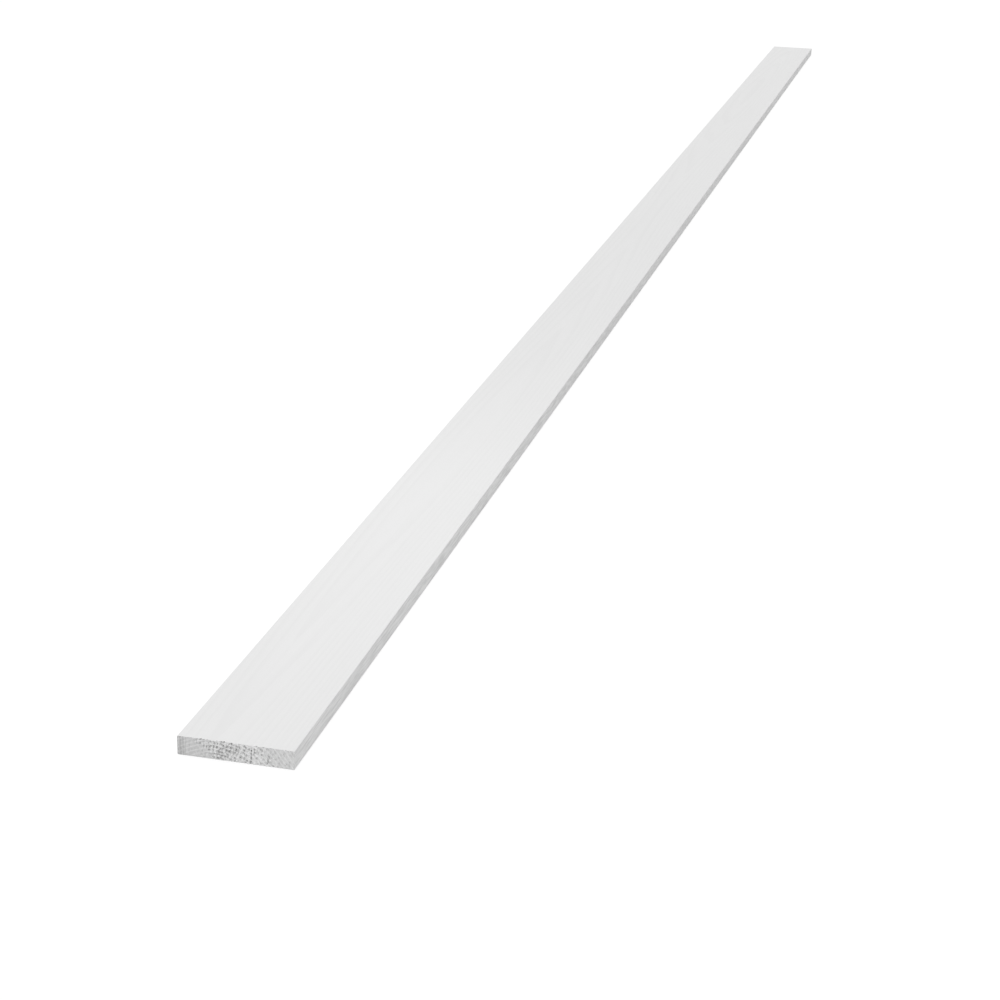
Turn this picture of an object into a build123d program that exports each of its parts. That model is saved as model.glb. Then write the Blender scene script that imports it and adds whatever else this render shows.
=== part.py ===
"""White-primed pine trim board: one planed length of nominal 1x5 stock with eased long edges."""

import os

from build123d import *

# Driving dimensions, in millimetres
BOARD_LENGTH = 4876.8  # 16 ft stock length, trimmed square at both ends
BOARD_WIDTH = 114.3  # 4 1/2 in, the planed width of nominal 5 in stock
BOARD_THICKNESS = 19.05  # 3/4 in, the planed thickness of nominal 1 in stock
EDGE_EASE_RADIUS = 0.8  # 1/32 in, the sharp corner that the moulder takes off the long edges

# The board lies flat: back face on Z = 0, length along X, width along Y, centred on the origin.
near_end_plane = Plane.YZ.offset(-BOARD_LENGTH / 2)
section_bottom = (Align.CENTER, Align.MIN)

with BuildPart() as trim_board:
    # Planed section, drawn on the near end and run to the far end
    with BuildSketch(near_end_plane):
        Rectangle(BOARD_WIDTH, BOARD_THICKNESS, align=section_bottom)
    extrude(amount=BOARD_LENGTH)
    # The four long edges are eased, and the sawn edges round the two ends stay sharp
    long_edges = trim_board.edges().filter_by(Axis.X)
    fillet(long_edges, radius=EDGE_EASE_RADIUS)

trim_board.part.label = "trim_board"

os.makedirs("parts", exist_ok=True)
export_step(trim_board.part, "parts/trim_board.step")
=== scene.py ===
"""Looks of a white-primed pine trim board: eased edges, rough sawn ends and faint grain."""

import math

import bpy
import numpy as np
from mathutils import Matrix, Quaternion, Vector, noise


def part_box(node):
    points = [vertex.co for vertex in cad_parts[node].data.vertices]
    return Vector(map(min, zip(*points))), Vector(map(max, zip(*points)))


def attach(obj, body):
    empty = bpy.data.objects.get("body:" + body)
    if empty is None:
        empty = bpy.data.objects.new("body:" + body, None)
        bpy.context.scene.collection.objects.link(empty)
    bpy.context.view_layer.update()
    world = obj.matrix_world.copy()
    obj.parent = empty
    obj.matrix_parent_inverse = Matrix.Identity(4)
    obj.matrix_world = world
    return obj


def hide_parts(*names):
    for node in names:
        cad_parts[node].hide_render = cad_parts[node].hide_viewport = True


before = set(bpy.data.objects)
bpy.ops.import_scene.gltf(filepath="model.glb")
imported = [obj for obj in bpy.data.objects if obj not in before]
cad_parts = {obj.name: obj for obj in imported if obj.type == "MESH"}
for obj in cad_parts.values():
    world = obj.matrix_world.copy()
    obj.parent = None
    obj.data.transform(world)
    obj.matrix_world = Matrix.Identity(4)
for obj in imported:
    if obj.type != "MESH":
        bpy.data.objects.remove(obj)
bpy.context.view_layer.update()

# Board sizes in metres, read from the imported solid
MM = 0.001
board_low, board_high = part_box("trim_board")
LENGTH, WIDTH, THICKNESS = board_high - board_low
NEAR_X, FAR_X = board_low.x, board_high.x
MIDDLE_Z = (board_low.z + board_high.z) / 2

# Mesh steps and edge rounding
EASE_RADIUS = 0.8 * MM  # rounding of the four long edges, the same as on the solid
EASE_STEPS = 3  # mesh steps from a flat face to the middle of an eased edge
CELL = 0.28 * MM  # mesh step across the section and over the sawn ends
ROW_STEP = 180 * MM  # mesh step along the grain
CORE = np.array([WIDTH, THICKNESS]) / 2 - EASE_RADIUS  # half sizes of the section inside its rounding
ROW_PLACES = np.linspace(NEAR_X, FAR_X, round(LENGTH / ROW_STEP) + 1)[1:-1]

# Growth rings of the log that the board was sawn from
PITH_LEFT = 14 * MM  # the pith lies this far to the left of the board's middle
PITH_BELOW = 58 * MM  # and this far below it
PITH_SWING = 7 * MM  # how far the pith wanders as it runs along the log
PITH_WAVE = 3.1  # length of one such wander
RING_STEP = 3.6 * MM  # mean width of a growth ring
RING_UNEVEN = 0.4  # how much wide and narrow years shift the rings, in rings
RING_SPELL = 3  # how many rings a spell of wide or narrow years lasts
RING_WOBBLE = 0.5  # how far a ring strays from round, in rings
WOBBLE_LONG = 700 * MM  # size of one such stray along the grain
WOBBLE_WIDE = 16 * MM  # and across it
LATE_START = 0.40  # share of a ring's width at which its dense line starts
LATE_FULL = 0.85  # at which it is densest
LATE_STOP = 0.94  # and from which it fades until the ring ends

# Unevenness of the primed planed faces, cut inwards from the solid
FACE_RELIEF = 0.04 * MM
FACE_RELIEF_LONG = 450 * MM  # its size along the grain
FACE_RELIEF_WIDE = 5 * MM  # and across it
FACE_RELIEF_SWING = 0.6  # share of it by which the noise swings about its middle

# Relief of the sawn ends, cut inwards from the solid
RIDGE_HEIGHT = 0.3 * MM  # dense lines stand this far out of the soft wood
RIDGE_TORN = 0.6  # how much of that height is lost where the wood isn't torn
PIT_DEPTH = 1.6 * MM  # deepest tear in the soft wood
TUFT_HEIGHT = 0.45 * MM  # highest tuft of fibres beside it
STROKE_DEPTH = 0.06 * MM  # marks of the saw's teeth
END_SEED = 7.3  # sets the two ends' patterns apart

# Torn band of a sawn end, placed in shares of the width from the end's left
TORN_START = (0.14, 0.32)  # where the band starts, and is full
TORN_STOP = (0.70, 0.86)  # where it starts to fade, and has faded
TORN_FADE = 0.75  # how much of it fades
TORN_SLANT = 0.15  # how far it leans over the board's thickness
LEAST_TORN = 0.15  # how torn the smoothest part of an end is

# Tears, and the tufts that they leave between them
TEAR_WIDE = 1.6 * MM  # width of one tear
TEAR_TALL = 3.0 * MM  # and its height, along the saw's stroke
TEAR_RANGE = (-0.34, 0.36)  # noise at which a tear starts, and is full
TEAR_DRIFT = 0.35  # how much more the left of an end is pitted, and its right tufted
FIBRE_SIZE = 0.7 * MM  # size of the bundles of fibres in a tear
PIT_FIBRES = (-0.2, 0.35)  # noise of the fibres at which a pit starts, and is deepest
PIT_FIBRE_SHARE = 0.6  # how much a pit follows the fibres
PIT_STROKE_SHARE = 0.6  # how much it follows the saw's strokes
PIT_LATE_SHARE = 0.9  # how much the dense lines hold it back
TUFT_FIBRES = (0.1, -0.4)  # noise of the fibres at which a tuft starts, and is highest
TUFT_FIBRE_SHARE = 0.7  # how much a tuft follows the fibres
TUFT_LATE_SHARE = 0.3  # how much it keeps to the dense lines

# Strokes of the saw, and the dull streaks where it rubbed as it left the wood
STROKE_STEP = 3.2 * MM  # spacing of the strokes
STROKE_LEAN = 0.2  # how far they lean sideways, as a share of their height
STROKE_BEND = 20 * MM  # size of their wander
STROKE_WANDER = 4  # and how far it shifts them, in radians
RUB_WIDE = 1.3 * MM  # width of a streak
RUB_LONG = 25 * MM  # and its length
RUB_RANGE = (-0.4, 0.4)  # noise at which a streak starts, and is full
RUB_ZONE = (0.16, 0.02)  # shares of the width where the rubbing starts, and is full
RUB_DULL = 0.4  # how dull it leaves the wood

# Primer: whiteness before the patterns below, roughness and shine
FACE_WHITE = 0.83
EDGE_WHITE = 0.90
END_WHITE = 0.79
END_WHITEST = 0.93  # limit on the tufts of the sawn ends, whose paleness is partly a painted highlight
ROUGHNESS = 0.6
SHINE = 0.3
BUMP_DISTANCE = 1.0  # heights in the materials are in metres

# Patterns in the primer: size of their lumps along X, Y and Z
STIPPLE_SIZE = (1.6 * MM, 1.1 * MM, 1.1 * MM)
FACE_FIBRE_SIZE = (260 * MM, 1.3 * MM, 1.3 * MM)
FACE_COAT_SIZE = (240 * MM, 45 * MM, 45 * MM)
EDGE_FIBRE_SIZE = (90 * MM, 0.8 * MM, 0.8 * MM)
EDGE_STREAK_SIZE = (24 * MM, 1.2 * MM, 1.2 * MM)
EDGE_STREAK_RANGE = (0.35, 0.65)  # noise at which a streak starts, and is full
END_PORE_SIZE = (0.35 * MM, 0.35 * MM, 0.35 * MM)
END_STREAK_SIZE = (1.0, 1.5 * MM, 60 * MM)
PLAIN_DETAIL = 2.0  # levels of finer noise in a soft pattern
FIBRE_DETAIL = 3.0  # and in fibres

# How much each pattern adds to the whiteness, the roughness and the height of a surface
FACE_WHITE_PARTS = {"line": -0.012, "fibre": -0.03, "coat": 0.02}
FACE_ROUGH_PARTS = {"stipple": 0.1, "line": 0.05}
FACE_HEIGHT_PARTS = {"line": 0.02 * MM, "fibre": 0.03 * MM, "stipple": 0.012 * MM}
EDGE_WHITE_PARTS = {"line": -0.02, "fibre": -0.03, "streak": -0.155}
EDGE_ROUGH_PARTS = {"stipple": 0.1, "streak": 0.1}
EDGE_HEIGHT_PARTS = {"line": 0.02 * MM, "fibre": 0.04 * MM, "streak": -0.03 * MM, "stipple": 0.012 * MM}
# On the sawn ends, pit darkens for thinner primer and as painted shade in the tears, and tuft lightens for
# thicker primer and as a painted highlight
END_WHITE_PARTS = {"line": 0.05, "pit": -0.4, "tuft": 0.34, "pore": -0.08, "streak": -0.08}
END_ROUGH_PARTS = {"pore": 0.15, "pit": 0.1}
END_HEIGHT_PARTS = {"line": 0.05 * MM, "pore": 0.12 * MM}

# Strips of the bake map: the share of its height that each part of the board gets
MAP_STRIPS = {"near": 0.165, "far": 0.165, "bottom": 0.25, "left": 0.05, "top": 0.25, "right": 0.05}
MAP_MARGIN = 0.01

# Camera, found from the edges of the board in the photograph
FRAME_SIDE_PX = 1000
FOCAL_PX = 2094.6
SENSOR_WIDTH = 36.0  # millimetres
CAMERA_BACK = 1.6311  # behind the near end
CAMERA_RIGHT = 0.6182  # to the right of the board's middle
CAMERA_HEIGHT = 0.8978
HEADING = math.radians(12.942)  # turned left from the board's length
TILT = math.radians(20.119)  # downwards
ROLL = math.radians(1.573)

# Light levels, at which 1 renders a surface as its own colour
SKY_LEVEL = 0.62
BACKDROP_LEVEL = 1.0  # the sky as it is seen, which is white
SUN_LEVEL = 0.30
SUN_ANGLE = math.radians(70)  # a wide soft source straight overhead
LAMP_LEVEL = 0.089
LAMP_PLACE = Vector((NEAR_X + 0.62, 0, 0.75))  # above the board, not far from its near end
FILL_LEVEL = 0.156
FILL_PLACE = Vector((NEAR_X - 1.6, -0.6, 0.22))  # low, before the near end and to its right
LAMP_SIDE = 0.5

# Floor
FLOOR_COLOUR = 0.65  # as it lights the board
FLOOR_SHADOW = 0.30  # share of the white it shows that takes the shadow
FLOOR_GLOW = 0.76  # the rest, a little over, so that the open floor looks white
FLOOR_SIDE = 120.0
FLOOR_DROP = 0.1 * MM  # keeps the floor clear of the board's back face


# Section of the board
def mesh_lines(size):
    """Places of the mesh lines across one side of the section, closer together over its eased corners."""
    inner = size - 2 * EASE_RADIUS
    corner = np.linspace(0, EASE_RADIUS, EASE_STEPS + 1)
    middle = EASE_RADIUS + np.linspace(0, inner, round(inner / CELL) + 1)
    return np.concatenate([corner[:-1], middle, size - corner[-2::-1]]) - size / 2


def section_grid():
    """Points (y, z) of the section in columns and rows, with its square corners bent into round ones."""
    square = np.stack(np.meshgrid(mesh_lines(WIDTH), mesh_lines(THICKNESS), indexing="ij"), axis=-1)
    core = np.clip(square, -CORE, CORE)
    over = square - core
    reach = np.linalg.norm(over, axis=-1, keepdims=True)
    bent = over * np.abs(over).max(axis=-1, keepdims=True) / np.where(reach > 0, reach, 1)
    return core + bent


def grid_numbers(grid_shape):
    """Numbers of the section's points, in their columns and rows."""
    return np.arange(grid_shape[0] * grid_shape[1]).reshape(grid_shape)


def rim_sides(grid_shape):
    """Numbers of the rim points on each side: bottom, left, top and right, seen from the near end."""
    index = grid_numbers(grid_shape)
    return [index[:-1, 0], index[-1, :-1], index[:0:-1, -1], index[0, :0:-1]]


# Growth rings and relief
def noise_at(*axes):
    """Smooth noise, from about -1 to 1, at many points."""
    return np.array([noise.noise(place) for place in np.broadcast(*axes)])


def smooth_step(value, start, end):
    """Goes from 0 at start to 1 at end, with soft bends."""
    share = np.clip((value - start) / (end - start), 0, 1)
    return share * share * (3 - 2 * share)


def partly(share, value):
    """Factor of which only that share follows the value, and the rest is whole."""
    return 1 - share + share * value


def ring_number(places):
    """Growth rings between the wandering pith and each point."""
    x, y, z = places.T
    turn = 2 * math.pi * x / PITH_WAVE
    across = y - PITH_LEFT - PITH_SWING * np.sin(turn)
    up = z - MIDDLE_Z + PITH_BELOW + PITH_SWING * np.cos(turn)
    radius = np.hypot(across, up) / RING_STEP
    uneven = RING_UNEVEN * noise_at(radius / RING_SPELL, 0, 0)
    wobble = RING_WOBBLE * noise_at(x / WOBBLE_LONG, y / WOBBLE_WIDE, z / WOBBLE_WIDE)
    return radius + uneven + wobble


def late_wood(ring):
    """1 in the dense line that closes each growth ring, and 0 in the soft wood between."""
    share = ring % 1
    return smooth_step(share, LATE_START, LATE_FULL) * smooth_step(share, 1, LATE_STOP)


def torn_share(share, z):
    """How torn the saw left each part of an end: most in a slanting band across its middle."""
    slanted = share + TORN_SLANT * z / THICKNESS
    band = smooth_step(slanted, *TORN_START) * (1 - TORN_FADE * smooth_step(slanted, *TORN_STOP))
    return LEAST_TORN + (1 - LEAST_TORN) * band


def saw_strokes(y, z, seed):
    """Marks of the saw's teeth, from 0 to 1, in wandering lines."""
    bend = STROKE_WANDER * noise_at(y / STROKE_BEND, z / STROKE_BEND, seed)
    return 0.5 + 0.5 * np.sin(2 * math.pi * (y + STROKE_LEAN * z) / STROKE_STEP + bend)


def rub_marks(y, z, share, seed):
    """Dull streaks at the left of an end."""
    streak = smooth_step(noise_at(y / RUB_WIDE, z / RUB_LONG, seed), *RUB_RANGE)
    return RUB_DULL * smooth_step(share, *RUB_ZONE) * streak


def sawn_end(section, x, facing):
    """Depth of a sawn end at each point, and how bare and shaded it is, from -1 on a tuft to 1 in a pit:
    thinner primer and painted shade in the pits, thicker primer and a painted highlight on the tufts.
    """
    y, z = section.T
    seed = END_SEED * facing
    share = 0.5 + facing * y / WIDTH
    late = late_wood(ring_number(np.column_stack([np.full(len(y), x), y, z + MIDDLE_Z])))
    torn = torn_share(share, z)
    stroke = saw_strokes(y, z, seed)
    patch = noise_at(y / TEAR_WIDE, z / TEAR_TALL, seed)
    tear = smooth_step(patch + TEAR_DRIFT * (0.5 - share), *TEAR_RANGE)
    fibre = noise_at(y / FIBRE_SIZE, z / FIBRE_SIZE, seed)
    pulled_out = partly(PIT_FIBRE_SHARE, smooth_step(fibre, *PIT_FIBRES))
    left_standing = partly(TUFT_FIBRE_SHARE, smooth_step(fibre, *TUFT_FIBRES))
    soft = partly(PIT_LATE_SHARE, 1 - late)
    pit = torn * tear * soft * partly(PIT_STROKE_SHARE, stroke) * pulled_out
    tuft = torn * (1 - tear) * partly(TUFT_LATE_SHARE, late) * left_standing
    ridge = late * partly(RIDGE_TORN, torn)
    raised = RIDGE_HEIGHT * (1 - ridge) + TUFT_HEIGHT * (1 - tuft)
    depth = raised + PIT_DEPTH * pit + STROKE_DEPTH * stroke
    # The second value colours the ends: painted shade in the pits and a painted highlight on the tufts,
    # besides thin and thick primer and the dull rubbed streaks
    return depth, pit - tuft + rub_marks(y, z, share, seed)


def face_depth(x, section):
    """Depth of the slight unevenness of the long faces, drawn out along the grain."""
    y, z = section.T / FACE_RELIEF_WIDE
    swing = FACE_RELIEF_SWING * noise_at(x / FACE_RELIEF_LONG, y, z)
    return FACE_RELIEF * np.clip(0.5 + swing, 0, 1)


# Mesh of the board
def board_points(section, rim):
    """Points of the near end, the far end and the rows between them, with how bare and shaded each point
    is, which paints shade into the pits of the ends and a highlight onto their tufts.
    """
    ends = []
    bareness_and_shading = []
    for x, facing in ((NEAR_X, -1), (FAR_X, 1)):
        depth, bare_and_shaded = sawn_end(section, x, facing)
        ends.append(np.column_stack([x - facing * depth, section]))
        bareness_and_shading.append(bare_and_shaded)
    outline = section[rim]
    outward = (outline - np.clip(outline, -CORE, CORE)) / EASE_RADIUS
    rows = []
    for x in ROW_PLACES:
        row = outline - outward * face_depth(x, outline)[:, None]
        rows.append(np.column_stack([np.full(len(rim), x), row]))
        bareness_and_shading.append(np.zeros(len(rim)))
    places = np.concatenate(ends + rows)
    places[:, 2] += MIDDLE_Z
    return places, np.concatenate(bareness_and_shading)


def quads(a, b, c, d):
    """Faces with these four corners each."""
    return np.stack([a, b, c, d], axis=-1).reshape(-1, 4)


def end_faces(grid_shape, facing):
    """Faces of one sawn end, numbered from its own first point and turned to look outwards."""
    index = grid_numbers(grid_shape)
    faces = quads(index[:-1, :-1], index[1:, :-1], index[1:, 1:], index[:-1, 1:])
    return faces[:, ::facing]


def long_faces(rim, end_points):
    """Faces along the board, from the near end's rim over each row to the far end's rim."""
    middle = 2 * end_points + np.arange(len(ROW_PLACES) * len(rim)).reshape(-1, len(rim))
    rows = np.vstack([rim, middle, end_points + rim])
    after = np.roll(rows, -1, axis=1)
    return quads(rows[:-1], after[:-1], after[1:], rows[1:])


# Bake map: the ends get a large share, because the long faces need few pixels along the grain
def strip_bounds():
    """Where each strip of the map starts and ends, from bottom to top."""
    gap = (1 - sum(MAP_STRIPS.values())) / (len(MAP_STRIPS) + 1)
    bounds = {}
    start = gap
    for name, height in MAP_STRIPS.items():
        bounds[name] = (start, start + height)
        start += height + gap
    return bounds


def along_map(share):
    """Place along a strip, inside the map's margin."""
    return MAP_MARGIN + (1 - 2 * MAP_MARGIN) * share


def end_map(section, faces, strip):
    """Map corners of one sawn end."""
    low, high = strip
    u = along_map(section[:, 0] / WIDTH + 0.5)
    v = low + (high - low) * (section[:, 1] / THICKNESS + 0.5)
    return np.column_stack([u, v])[faces]


def long_map(sides, strips):
    """Map corners of the long faces, one strip for each side of the section."""
    edges = [np.linspace(*strip, len(side) + 1) for side, strip in zip(sides, strips)]
    low_v = np.concatenate([edge[:-1] for edge in edges])
    high_v = np.concatenate([edge[1:] for edge in edges])
    u = along_map(np.linspace(0, 1, len(ROW_PLACES) + 2))
    near_u, low_v = np.meshgrid(u[:-1], low_v, indexing="ij")
    far_u, high_v = np.meshgrid(u[1:], high_v, indexing="ij")
    corners = [near_u, low_v, near_u, high_v, far_u, high_v, far_u, low_v]
    return np.stack(corners, axis=-1).reshape(-1, 4, 2)


def map_corners(section, sides, near, far):
    """Map corners of all faces: the near end, the far end and the long faces."""
    strips = strip_bounds()
    long_strips = [strips[name] for name in ("bottom", "left", "top", "right")]
    corners = [
        end_map(section, near, strips["near"]),
        end_map(section, far, strips["far"]),
        long_map(sides, long_strips),
    ]
    return np.concatenate(corners)


# Piece
def set_point_values(mesh, name, values):
    """Stores one number at each point of the mesh, for the materials to read."""
    mesh.attributes.new(name, "FLOAT", "POINT").data.foreach_set("value", values.astype(np.float32))


def sharpen(mesh, rims):
    """Marks the edges that run along the two sawn rims as sharp."""
    ends = np.empty(2 * len(mesh.edges), np.int32)
    mesh.edges.foreach_get("vertices", ends)
    on_rim = np.isin(ends, rims).reshape(-1, 2).all(axis=1)
    mesh.attributes.new("sharp_edge", "BOOLEAN", "EDGE").data.foreach_set("value", on_rim)


def set_materials(mesh, materials, end_count, sides):
    """Gives the ends, which come first, and the wide faces and narrow edges their materials."""
    for material in materials:
        mesh.materials.append(material)
    face, edge, end = range(len(materials))
    round_rim = np.repeat([face, edge, face, edge], [len(side) for side in sides])
    worn = np.concatenate([np.full(end_count, end), np.tile(round_rim, len(ROW_PLACES) + 1)])
    mesh.polygons.foreach_set("material_index", worn.astype(np.int32))


def board_piece(materials):
    """The whole board as one closed mesh, with materials for its faces, its edges and its ends."""
    grid = section_grid()
    grid_shape = grid.shape[:2]
    section = grid.reshape(-1, 2)
    sides = rim_sides(grid_shape)
    rim = np.concatenate(sides)
    places, bareness_and_shading = board_points(section, rim)
    near = end_faces(grid_shape, -1)
    far = end_faces(grid_shape, 1)
    faces = np.concatenate([near, far + len(section), long_faces(rim, len(section))])
    mesh = bpy.data.meshes.new("primed_board")
    mesh.from_pydata(places.tolist(), [], faces.tolist())
    mesh.shade_smooth()
    sharpen(mesh, np.concatenate([rim, rim + len(section)]))
    bake_map = mesh.uv_layers.new(name="OFBake")
    corners = map_corners(section, sides, near, far)
    bake_map.data.foreach_set("uv", corners.astype(np.float32).ravel())
    set_point_values(mesh, "ring_number", ring_number(places))
    set_point_values(mesh, "bareness_and_shading", bareness_and_shading)
    set_materials(mesh, materials, len(near) + len(far), sides)
    mesh.update()
    board = bpy.data.objects.new("primed_board", mesh)
    bpy.context.scene.collection.objects.link(board)
    return board


# Node helpers
def fill(tree, socket, value):
    """Links a socket to another one, or sets its value."""
    if isinstance(value, bpy.types.NodeSocket):
        tree.links.new(value, socket)
    else:
        socket.default_value = value


def add_node(tree, kind, inputs=None, **options):
    """Adds a node with these options and inputs."""
    made = tree.nodes.new(kind)
    for name, value in options.items():
        setattr(made, name, value)
    for name, value in (inputs or {}).items():
        fill(tree, made.inputs[name], value)
    return made


def maths(tree, operation, *values):
    """Result of one sum on sockets or numbers."""
    made = add_node(tree, "ShaderNodeMath", operation=operation)
    for socket, value in zip(made.inputs, values):
        fill(tree, socket, value)
    return made.outputs["Value"]


def weighted(tree, start, parts, patterns):
    """Start plus each part's weight times the pattern of that name."""
    total = start
    for name, weight in parts.items():
        total = maths(tree, "MULTIPLY_ADD", patterns[name], weight, total)
    return total


def eased_range(tree, value, start, end):
    """Goes from 0 at start to 1 at end, with soft bends."""
    limits = {"Value": value, "From Min": start, "From Max": end}
    made = add_node(tree, "ShaderNodeMapRange", limits, interpolation_type="SMOOTHSTEP")
    return made.outputs["Result"]


def point_value(tree, name):
    """Number stored at the mesh's points."""
    return add_node(tree, "ShaderNodeAttribute", attribute_name=name).outputs["Fac"]


def grain_noise(tree, size, detail=PLAIN_DETAIL):
    """Noise from 0 to 1 with lumps of that size along X, Y and Z, in metres."""
    place = add_node(tree, "ShaderNodeTexCoord").outputs["Object"]
    scaled = add_node(tree, "ShaderNodeVectorMath", {0: place, 1: size}, operation="DIVIDE")
    settings = {"Vector": scaled.outputs["Vector"], "Scale": 1.0, "Detail": detail}
    return add_node(tree, "ShaderNodeTexNoise", settings).outputs["Fac"]


def late_line(tree):
    """The dense line of each growth ring, as late_wood gives it."""
    share = maths(tree, "FRACT", point_value(tree, "ring_number"))
    rise = eased_range(tree, share, LATE_START, LATE_FULL)
    fall = eased_range(tree, share, 1.0, LATE_STOP)
    return maths(tree, "MULTIPLY", rise, fall)


# Materials
def primer_material(name, surface):
    """Matt white primer, with the colour, roughness and height that the surface's function makes."""
    material = bpy.data.materials.new(name)
    material.use_nodes = True
    tree = material.node_tree
    white, roughness, height = surface(tree)
    bump = add_node(tree, "ShaderNodeBump", {"Height": height, "Distance": BUMP_DISTANCE})
    shader = tree.nodes["Principled BSDF"]
    fill(tree, shader.inputs["Base Color"], white)
    fill(tree, shader.inputs["Roughness"], roughness)
    fill(tree, shader.inputs["Normal"], bump.outputs["Normal"])
    shader.inputs["Specular IOR Level"].default_value = SHINE
    return material


def planed_face(tree):
    """Wide faces: nearly even white over faint growth rings and long fibres."""
    patterns = {
        "line": late_line(tree),
        "fibre": grain_noise(tree, FACE_FIBRE_SIZE, FIBRE_DETAIL),
        "coat": grain_noise(tree, FACE_COAT_SIZE),
        "stipple": grain_noise(tree, STIPPLE_SIZE),
    }
    white = weighted(tree, FACE_WHITE, FACE_WHITE_PARTS, patterns)
    roughness = weighted(tree, ROUGHNESS, FACE_ROUGH_PARTS, patterns)
    height = weighted(tree, 0.0, FACE_HEIGHT_PARTS, patterns)
    return white, roughness, height


def planed_edge(tree):
    """Narrow edges: a patchier coat, with short dull streaks where the knives lifted the fibres."""
    lifted = grain_noise(tree, EDGE_STREAK_SIZE, FIBRE_DETAIL)
    patterns = {
        "line": late_line(tree),
        "fibre": grain_noise(tree, EDGE_FIBRE_SIZE, FIBRE_DETAIL),
        "streak": eased_range(tree, lifted, *EDGE_STREAK_RANGE),
        "stipple": grain_noise(tree, STIPPLE_SIZE),
    }
    white = weighted(tree, EDGE_WHITE, EDGE_WHITE_PARTS, patterns)
    roughness = weighted(tree, ROUGHNESS, EDGE_ROUGH_PARTS, patterns)
    height = weighted(tree, 0.0, EDGE_HEIGHT_PARTS, patterns)
    return white, roughness, height


def sawn_face(tree):
    """Sawn ends: thin and dull in the torn pits, with painted shade there, thick and pale on the ridges and
    tufts between, with a painted highlight on the tufts.
    """
    # Painted shade in the pits and a painted highlight on the tufts, along with thin and thick primer
    bare_and_shaded = point_value(tree, "bareness_and_shading")
    covered_and_lit = maths(tree, "MULTIPLY", bare_and_shaded, -1.0)
    patterns = {
        "line": late_line(tree),
        "pit": maths(tree, "MAXIMUM", bare_and_shaded, 0.0),
        # the tufts' extra whiteness is thicker primer and a painted highlight
        "tuft": maths(tree, "MAXIMUM", covered_and_lit, 0.0),
        "pore": grain_noise(tree, END_PORE_SIZE),
        "streak": grain_noise(tree, END_STREAK_SIZE),
    }
    white = weighted(tree, END_WHITE, END_WHITE_PARTS, patterns)
    capped_white = maths(tree, "MINIMUM", white, END_WHITEST)
    roughness = weighted(tree, ROUGHNESS, END_ROUGH_PARTS, patterns)
    height = weighted(tree, 0.0, END_HEIGHT_PARTS, patterns)
    return capped_white, roughness, height


# Stage
def seen_directly(tree):
    """1 for rays that show a surface, also in gloss or through glass, and 0 for those that light others."""
    path = add_node(tree, "ShaderNodeLightPath").outputs
    mirrored = maths(tree, "MAXIMUM", path["Is Glossy Ray"], path["Is Transmission Ray"])
    return maths(tree, "MAXIMUM", path["Is Camera Ray"], mirrored)


def grey(level):
    """Colour of that level."""
    return (level, level, level, 1.0)


def light_sky():
    """An even sky that lights the board, and looks white."""
    world = bpy.data.worlds.new("even_sky")
    world.use_nodes = True
    tree = world.node_tree
    tree.nodes.clear()
    lighting = add_node(tree, "ShaderNodeBackground", {"Color": grey(1.0), "Strength": SKY_LEVEL})
    backdrop = add_node(tree, "ShaderNodeBackground", {"Color": grey(1.0), "Strength": BACKDROP_LEVEL})
    sides = {0: seen_directly(tree), 1: lighting.outputs[0], 2: backdrop.outputs[0]}
    mixed = add_node(tree, "ShaderNodeMixShader", sides)
    add_node(tree, "ShaderNodeOutputWorld", {"Surface": mixed.outputs[0]})
    bpy.context.scene.world = world


def floor_material():
    """Pale floor that looks white where nothing shades it."""
    material = bpy.data.materials.new("pale_floor")
    material.use_nodes = True
    tree = material.node_tree
    tree.nodes.clear()
    lighting = add_node(tree, "ShaderNodeBsdfDiffuse", {"Color": grey(FLOOR_COLOUR)})
    shaded = add_node(tree, "ShaderNodeBsdfDiffuse", {"Color": grey(FLOOR_SHADOW)})
    glow = add_node(tree, "ShaderNodeEmission", {"Color": grey(1.0), "Strength": FLOOR_GLOW})
    shown = add_node(tree, "ShaderNodeAddShader", {0: shaded.outputs[0], 1: glow.outputs[0]})
    sides = {0: seen_directly(tree), 1: lighting.outputs[0], 2: shown.outputs[0]}
    mixed = add_node(tree, "ShaderNodeMixShader", sides)
    add_node(tree, "ShaderNodeOutputMaterial", {"Surface": mixed.outputs[0]})
    return material


def lay_floor():
    """Floor under the board."""
    half = FLOOR_SIDE / 2
    height = board_low.z - FLOOR_DROP
    corners = [(-half, -half, height), (half, -half, height), (half, half, height), (-half, half, height)]
    mesh = bpy.data.meshes.new("floor")
    mesh.from_pydata(corners, [], [(0, 1, 2, 3)])
    mesh.materials.append(floor_material())
    floor = bpy.data.objects.new("floor", mesh)
    bpy.context.scene.collection.objects.link(floor)


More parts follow.
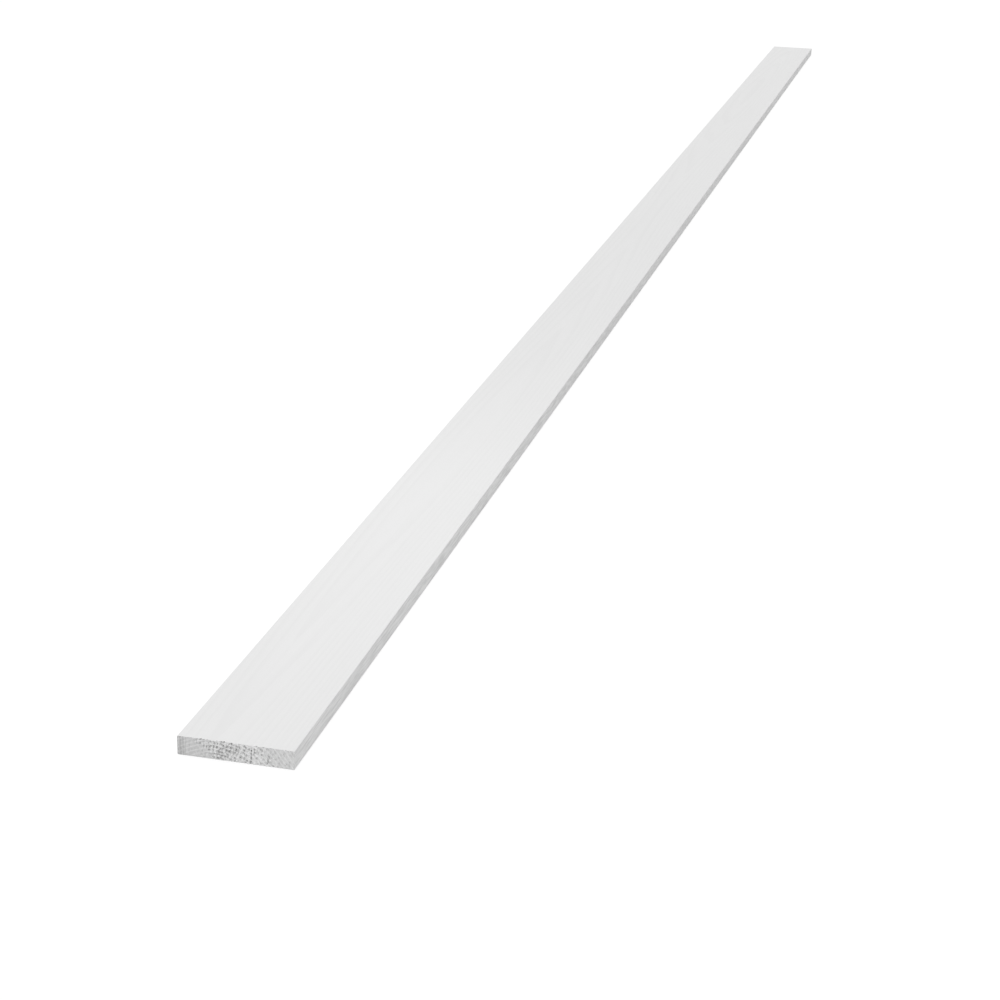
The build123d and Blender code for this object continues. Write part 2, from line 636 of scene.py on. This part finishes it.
def hang_light(light, place, target):
    """Hangs a light that the camera doesn't see, and turns it to the target."""
    hung = bpy.data.objects.new(light.name, light)
    hung.location = place
    hung.rotation_mode = "QUATERNION"
    hung.rotation_quaternion = (target - place).to_track_quat("-Z", "Y")
    hung.visible_camera = False
    bpy.context.scene.collection.objects.link(hung)


def hang_softbox(name, level, place, target):
    """Hangs a square soft lamp that lights the target at that level."""
    lamp = bpy.data.lights.new(name, "AREA")
    lamp.size = LAMP_SIDE
    lamp.energy = level * (math.pi * (target - place).length) ** 2
    hang_light(lamp, place, target)


def hang_lights():
    """A wide soft source overhead, a lamp above the near half and a low one for the near end."""
    sun = bpy.data.lights.new("soft_overhead", "SUN")
    sun.energy = SUN_LEVEL * math.pi
    sun.angle = SUN_ANGLE
    below_lamp = Vector((LAMP_PLACE.x, LAMP_PLACE.y, 0))
    hang_light(sun, LAMP_PLACE, below_lamp)
    hang_softbox("near_softbox", LAMP_LEVEL, LAMP_PLACE, below_lamp)
    hang_softbox("fill_softbox", FILL_LEVEL, FILL_PLACE, Vector((NEAR_X, 0, MIDDLE_Z)))


def place_camera():
    """Camera that sees the board as the photograph does."""
    data = bpy.data.cameras.new("photo_camera")
    data.sensor_width = SENSOR_WIDTH
    data.lens = SENSOR_WIDTH * FOCAL_PX / FRAME_SIDE_PX
    data.clip_end = FLOOR_SIDE
    camera = bpy.data.objects.new("photo_camera", data)
    camera.location = (NEAR_X - CAMERA_BACK, -CAMERA_RIGHT, CAMERA_HEIGHT)
    level = math.cos(TILT)
    forward = Vector((level * math.cos(HEADING), level * math.sin(HEADING), -math.sin(TILT)))
    camera.rotation_mode = "QUATERNION"
    camera.rotation_quaternion = forward.to_track_quat("-Z", "Y") @ Quaternion((0, 0, 1), ROLL)
    bpy.context.scene.collection.objects.link(camera)
    bpy.context.scene.camera = camera


# Assembly
board = board_piece([
    primer_material("primed_face", planed_face),
    primer_material("primed_edge", planed_edge),
    primer_material("primed_end", sawn_face),
])
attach(board, "root")
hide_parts("trim_board")
lay_floor()
light_sky()
hang_lights()
place_camera()
bpy.context.scene.view_settings.view_transform = "Standard"
